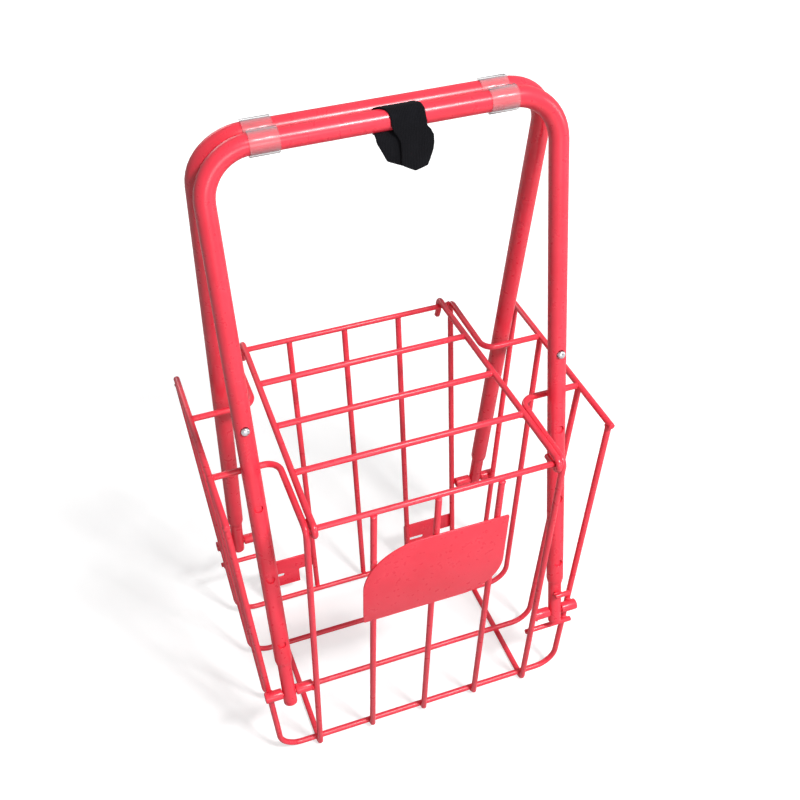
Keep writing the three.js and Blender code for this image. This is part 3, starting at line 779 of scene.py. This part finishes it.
def leaf_part(x):
    """The stud's bent leaf, a strip 5 mm wide and 0.8 mm thick."""
    steps = 24
    verts, faces = [], []
    for k in range(steps + 1):
        s = k / steps
        y, z = -2.6 + 1.2 * s * s, 297.5 - 26 * s
        for dx, dy in ((-2.5, -0.4), (2.5, -0.4), (2.5, 0.4), (-2.5, 0.4)):
            verts.append((x + dx, y + dy, z))
    for k in range(steps):
        for m in range(4):
            a, b = k * 4 + m, k * 4 + (m + 1) % 4
            faces.append((a, b, b + 4, a + 4))
    last = 4 * steps
    faces += [(0, 1, 2, 3), (last + 3, last + 2, last + 1, last)]
    return verts, faces


LEG_CUTS = [5, 8, 10, 12, 14, 16, 18, 21, 300, 303, 305, 307, 309, 311, 314]
for side, label, other in ((1, "right", "left"), (-1, "left", "right")):
    x = side * PIVOT_X
    leg = mesh_of("leg", tube([(x, 0, -13), (x, 0, 330)], [0, 0], INNER_R, 40, 0.4, INNER_BORE,
                              cuts=LEG_CUTS))
    pin_hole = shifted(along_x(lathe([(0, -9), (3.3, -9), (3.3, 9), (0, 9)], 32)), x)
    cut(leg, pin_hole, hole_cutter(x, HOLES[0], 1, 11.4))
    mapped(leg, on_handle)
    leg.name = f"inner_leg_front_{label}_look"
    twin = copy_of(leg, f"inner_leg_back_{other}_look", turned)
    stud = shifted(lying_back(stud_part()), x, 0, HOLES[0])
    button = mesh_of(f"spring_button_front_{label}_look", on_handle(joined([stud, leaf_part(x)])))
    button_twin = copy_of(button, f"spring_button_back_{other}_look", turned)
    for obj, finish, slot, body, name in (
            (leg, RED, "red_coating", "front_legs", f"inner_leg_front_{label}"),
            (twin, RED, "red_coating", "back_legs", f"inner_leg_back_{other}"),
            (button, STEEL, "bright_steel",
             f"button_front_{label}", f"spring_button_front_{label}"),
            (button_twin, STEEL, "bright_steel",
             f"button_back_{other}", f"spring_button_back_{other}")):
        shade(obj, HANDLE_SMOOTH)
        finish_piece(obj, finish, body, slot, name)

line = ((PIVOT_X - 4, -9.2, 26), (PIVOT_X + 11, -9.2, 26))
leg_stop = on_handle(tube(line, [0, 0], WIRE_R, 20, 0.9))
for part, body, name in ((leg_stop, "front_legs", "leg_stop_front_right"),
                         (turned(leg_stop), "back_legs", "leg_stop_back_left")):
    finish_piece(mesh_of(name + "_look", part), RED, body, "red_coating", name)


# ---------------------------------------------------------------- sheet metal
def arc(cx, cy, r, start, end, steps):
    angles = [math.radians(start + (end - start) * k / steps) for k in range(steps + 1)]
    return [(cx + r * math.cos(a), cy + r * math.sin(a)) for a in angles]


def sheet_part(outline, depth, holes=()):
    """A flat sheet with holes, filled and extruded, as (x, up, out) points."""
    bm = bmesh.new()
    edges = []
    for loop in (outline, *holes):
        verts = [bm.verts.new((x, y, 0)) for x, y in loop]
        edges += [bm.edges.new((a, b)) for a, b in zip(verts, verts[1:] + verts[:1])]
    bmesh.ops.triangle_fill(bm, use_beauty=True, edges=edges)
    bmesh.ops.dissolve_limit(bm, angle_limit=0.01, verts=bm.verts, edges=bm.edges)
    faces = list(bm.faces)
    made = bmesh.ops.extrude_face_region(bm, geom=faces)
    moved = [g for g in made["geom"] if isinstance(g, bmesh.types.BMVert)]
    bmesh.ops.translate(bm, verts=moved, vec=(0, 0, depth))
    bm.verts.index_update()
    part = [tuple(v.co) for v in bm.verts], [tuple(v.index for v in f.verts) for f in bm.faces]
    bm.free()
    return part


def placed_sheet(part, turn_it=False):
    verts, faces = part
    made = on_wall(([(x, v, d + WIRE_R + GAP) for x, v, d in verts], faces))
    return turned(made) if turn_it else made


SHEET_BEVEL = 0.4
SHEET_SMOOTH = 35
PLATE_LEFT, PLATE_RIGHT = -66.5, 65.5
PLATE_THICK = 1.5
small_r, lower_r, upper_r = 2, 38, 52
high, low = slope_at(298), slope_at(200)
outline = arc(PLATE_LEFT + small_r, low + small_r, small_r, 180, 270, 6)
outline += arc(PLATE_RIGHT - lower_r, low + lower_r, lower_r, 270, 360, 24)
outline += arc(PLATE_RIGHT - small_r, high - small_r, small_r, 0, 90, 6)
outline += arc(PLATE_LEFT + upper_r, high - upper_r, upper_r, 90, 180, 30)
plate = mesh_of("front_plate_look", placed_sheet(sheet_part(outline, PLATE_THICK)))
bevelled(plate, SHEET_BEVEL)
shade(plate, SHEET_SMOOTH)
finish_piece(plate, RED, "basket", "red_coating", "front_plate")


def rear_bracket(left_x, name):
    """A strip across two wires with a tab below it, and a slot in the tab."""
    height, strip_height, thick, tab_share = 38, 19, 2, 0.66
    slot_length, slot_r, slot_from_side, slot_drop = 19, 2.3, 4, 22
    far, near = WIRE_R - left_x, -(left_x + WALL_WIRE_X[-1] + WIRE_R)
    edge = far - (far - near) * tab_share
    high = slope_at(57)
    low, strip = high - height, high - strip_height
    outline = [(edge, low), (far - 1, low), (far, low + 1), (far, high - 1), (far - 1, high),
               (near + 1, high), (near, high - 1), (near, strip + 1), (near + 1, strip)]
    outline += arc(edge - 1.5, strip - 1.5, 1.5, 90, 0, 5)
    slot_y, end = high - slot_drop, far - slot_from_side
    hole = arc(end - slot_r, slot_y, slot_r, -90, 90, 12)
    hole += arc(end - slot_length + slot_r, slot_y, slot_r, 90, 270, 12)
    obj = mesh_of(name + "_look", placed_sheet(sheet_part(outline, thick, [hole]), True))
    bevelled(obj, SHEET_BEVEL)
    shade(obj, SHEET_SMOOTH)
    finish_piece(obj, RED, "basket", "red_coating", name)


rear_bracket(WALL_WIRE_X[-1], "rear_bracket_right")
rear_bracket(-LOOP_X, "rear_bracket_left")


# ---------------------------------------------------------------- clear clips
CLIP_WIDTH = 22


def clip_outline():
    """Closed line of the double clip seen along the bars: a slit ring and a snap-on C."""
    bore, outer = 8.3, 9.6
    mid, half = (bore + outer) / 2, (outer - bore) / 2

    def go(cy, r, start, end):
        """Along an arc round a bar, by its end angles in degrees."""
        return arc(cy, 0, r, start, end, max(2, int(abs(end - start) / 6)))

    def cap(cy, angle, way):
        """A round end across the wall."""
        a = math.radians(angle)
        c = (cy + mid * math.cos(a), mid * math.sin(a))
        made = []
        for k in range(1, 6):
            s = math.pi * k / 6
            out, on = way * math.cos(s) * half, way * math.sin(s) * half
            made.append((c[0] + out * math.cos(a) - on * math.sin(a),
                         c[1] + out * math.sin(a) + on * math.cos(a)))
        return made

    line = go(-GRIP_Y, outer, 74.5, 339.6)
    line += go(GRIP_Y, outer, 200.4, 296.4) + cap(GRIP_Y, 296.4, 1)
    line += go(GRIP_Y, bore, 296.4, 63.6) + cap(GRIP_Y, 63.6, -1)
    line += go(GRIP_Y, outer, 63.6, 159.6)
    line += go(-GRIP_Y, outer, 20.4, 37) + cap(-GRIP_Y, 37, 1)
    line += go(-GRIP_Y, bore, 37, -285.5) + cap(-GRIP_Y, 74.5, -1)
    kept = [line[0]]
    for p in line[1:]:
        if math.dist(p, kept[-1]) > 0.05:
            kept.append(p)
    return kept


def clip(x, name):
    verts, faces = sheet_part(clip_outline(), CLIP_WIDTH)
    part = [(x - CLIP_WIDTH / 2 + d, a, GRIP_Z + b) for a, b, d in verts], faces
    obj = mesh_of(name + "_look", part)
    bevelled(obj, 0.3, segments=2, angle=60)
    shade(obj, SMOOTH_UP_TO)
    finish_piece(obj, CLEAR, "front_handle", "clear_plastic", name)


clip(-CLIP_X, "clear_clip_left")
clip(CLIP_X, "clear_clip_right")


# ---------------------------------------------------------------- strap
STRAP_THICK = 1.25
STRAP_ACROSS = 18
FLAPS_BELOW = 606


def on_bar(angle, reach=9.05):
    a = math.radians(angle)
    return -GRIP_Y + reach * math.cos(a), GRIP_Z + reach * math.sin(a)


# (y, z), left edge and right edge of each row across, from the flap behind to the flap in front
STRAP_ROWS = [
    ((-17.1, 580.6), 16, 22), ((-17.15, 582.4), 12, 26), ((-17.2, 585.2), 6, 28),
    ((-17.25, 588.2), -0.4, 29), ((-17.3, 589.4), -2.3, 29.5), ((-17.3, 591.5), -3.4, 29.6),
    ((-17.25, 597), -6.1, 29.6), ((-17.1, 602.5), -8.9, 28.6), ((-17.0, 604.6), -9.8, 27.6),
    ((-16.7, 607), -10.2, 26), (on_bar(236), -10.9, 24), (on_bar(270), -10.6, 21),
    (on_bar(315), -9.6, 19), (on_bar(0), -8.8, 18.5), (on_bar(40), -8.0, 20.5),
    (on_bar(75), -6.0, 24.0), (on_bar(105), -1.5, 26.5), (on_bar(140), 0.6, 27.6),
    (on_bar(180), 1.0, 28.2), ((-18.6, 612.6), 2.4, 28.6), ((-18.9, 609.5), 4.4, 31.2),
    ((-19.3, 605), 6.8, 33.2), ((-19.5, 600), 7.6, 33.7), ((-19.4, 594), 8.0, 33.1),
    ((-19.2, 588), 8.2, 31.4), ((-19.0, 584.8), 8.9, 30.3), ((-18.9, 582.6), 12.0, 29.5),
    ((-18.85, 581.4), 14.2, 28.8), ((-18.8, 579.9), 16.8, 23.6), ((-18.75, 578.8), 18.6, 20.0),
]


def smooth_rows(rows, steps):
    """Catmull-Rom through rows of numbers."""
    rows = [np.array(r, float) for r in rows]
    made = []
    for i in range(len(rows) - 1):
        p0, p1 = rows[max(i - 1, 0)], rows[i]
        p2, p3 = rows[i + 1], rows[min(i + 2, len(rows) - 1)]
        for k in range(steps):
            s = k / steps
            made.append(0.5 * (2 * p1 + (p2 - p0) * s + (2 * p0 - 5 * p1 + 4 * p2 - p3) * s * s
                               + (3 * p1 - p0 - 3 * p2 + p3) * s ** 3))
    made.append(rows[-1])
    return made


def build_strap():
    """A lofted band with slightly frayed edges and a soft swell, thickened and rounded."""
    rows = smooth_rows([(y, z, a, b) for (y, z), a, b in STRAP_ROWS], 5)
    verts, faces = [], []
    for y, z, a, b in rows:
        for k in range(STRAP_ACROSS + 1):
            s = k / STRAP_ACROSS
            x = a + (b - a) * s
            fray = noise.noise(Vector((x * 0.45, y * 0.45, z * 0.45)))
            fray = fray * 0.45 * abs(2 * s - 1) ** 6
            swell = noise.noise(Vector((x * 0.09, y * 0.09, z * 0.09 + 7))) * 0.35
            outward = fray if s > 0.5 else -fray
            verts.append((x + outward, y - swell if z < FLAPS_BELOW else y, z + fray))
    for i in range(len(rows) - 1):
        for k in range(STRAP_ACROSS):
            p = i * (STRAP_ACROSS + 1) + k
            q = p + STRAP_ACROSS + 1
            faces.append((p, p + 1, q + 1, q))
    obj = mesh_of("strap_look", (verts, faces))
    solid = obj.modifiers.new("thick", "SOLIDIFY")
    solid.thickness = STRAP_THICK * MM
    solid.offset = 0
    round_it = obj.modifiers.new("round", "SUBSURF")
    round_it.levels = round_it.render_levels = 1
    apply_all(obj)
    shade(obj, 60)
    finish_piece(obj, STRAP, "front_handle", "black_strap", "strap")


build_strap()


# ---------------------------------------------------------------- carried-over nodes
for name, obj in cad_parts.items():
    if name.startswith("button_leaf"):
        obj.data.materials.clear()
        obj.data.materials.append(STEEL)


# ---------------------------------------------------------------- floor, backdrop and light
WHITE = (1, 1, 1, 1)
FLOOR_RADIUS = 5
FLOOR_DROP = 0.0002
AMBIENT = 0.10


def seen_or_mirrored(tree):
    """1 for rays from the camera and for those that show the surroundings in a surface."""
    ray = node(tree, "ShaderNodeLightPath").outputs
    most = computed(tree, "MAXIMUM", ray["Is Camera Ray"], ray["Is Glossy Ray"])
    return computed(tree, "MAXIMUM", most, ray["Is Transmission Ray"])


def floor_material():
    """A pale floor that fades into the white backdrop and keeps the object's shadow."""
    material = bpy.data.materials.new("pale_floor")
    material.use_nodes = True
    tree = material.node_tree
    tree.nodes.clear()
    out = node(tree, "ShaderNodeOutputMaterial")
    where = object_place(tree)
    tone = blended(tree, noise_of(tree, where, 6, 2), (0.26, 0.26, 0.26), (0.30, 0.30, 0.30))
    plain = node(tree, "ShaderNodeBsdfDiffuse", {"Color": tone}).outputs[0]
    soft = node(tree, "ShaderNodeBsdfDiffuse", {"Color": (0.55, 0.55, 0.55, 1)}).outputs[0]
    far = node(tree, "ShaderNodeVectorMath", {0: where}, operation="LENGTH").outputs["Value"]
    fade = spread(tree, far, 0.62, 0.97, 0.3, 1.3)
    glow = node(tree, "ShaderNodeEmission", {"Color": WHITE, "Strength": fade}).outputs[0]
    seen = node(tree, "ShaderNodeAddShader", {0: soft, 1: glow}).outputs[0]
    mix = node(tree, "ShaderNodeMixShader", {0: seen_or_mirrored(tree), 1: plain, 2: seen})
    tree.links.new(mix.outputs[0], out.inputs["Surface"])
    return material


bm = bmesh.new()
bmesh.ops.create_circle(bm, cap_ends=True, radius=FLOOR_RADIUS, segments=96)
floor_mesh = bpy.data.meshes.new("floor")
bm.to_mesh(floor_mesh)
bm.free()
floor = bpy.data.objects.new("floor", floor_mesh)
bpy.context.scene.collection.objects.link(floor)
floor.location.z = -FLOOR_DROP
floor.data.materials.append(floor_material())

world = bpy.data.worlds.new("studio")
bpy.context.scene.world = world
world.use_nodes = True
tree = world.node_tree
tree.nodes.clear()
out = node(tree, "ShaderNodeOutputWorld")
dim = node(tree, "ShaderNodeBackground", {"Color": WHITE, "Strength": AMBIENT}).outputs[0]
white = node(tree, "ShaderNodeBackground", {"Color": WHITE, "Strength": 1.0}).outputs[0]
mix = node(tree, "ShaderNodeMixShader", {0: seen_or_mirrored(tree), 1: dim, 2: white})
tree.links.new(mix.outputs[0], out.inputs["Surface"])


def lamp(name, place, target_z, width, height, watts):
    """An area lamp, in metres and watts, that points at a height on the Z axis."""
    light = bpy.data.lights.new(name, "AREA")
    light.shape = "RECTANGLE"
    light.size, light.size_y = width, height
    light.energy = watts
    obj = bpy.data.objects.new(name, light)
    bpy.context.scene.collection.objects.link(obj)
    obj.location = place
    aim = Vector((0, 0, target_z)) - Vector(place)
    obj.rotation_euler = aim.to_track_quat("-Z", "Y").to_euler()


lamp("key", (0.6, -1.3, 2.15), 0.35, 0.42, 0.24, 52)
lamp("side", (2.1, -0.9, 0.9), 0.3, 0.5, 0.9, 13)
lamp("front", (-0.1, -2.3, 0.8), 0.3, 1.0, 0.8, 17)
lamp("back", (-0.5, 2.3, 1.2), 0.3, 1.0, 0.8, 14)

bpy.context.scene.view_settings.view_transform = "Standard"

bpy.context.view_layer.update()
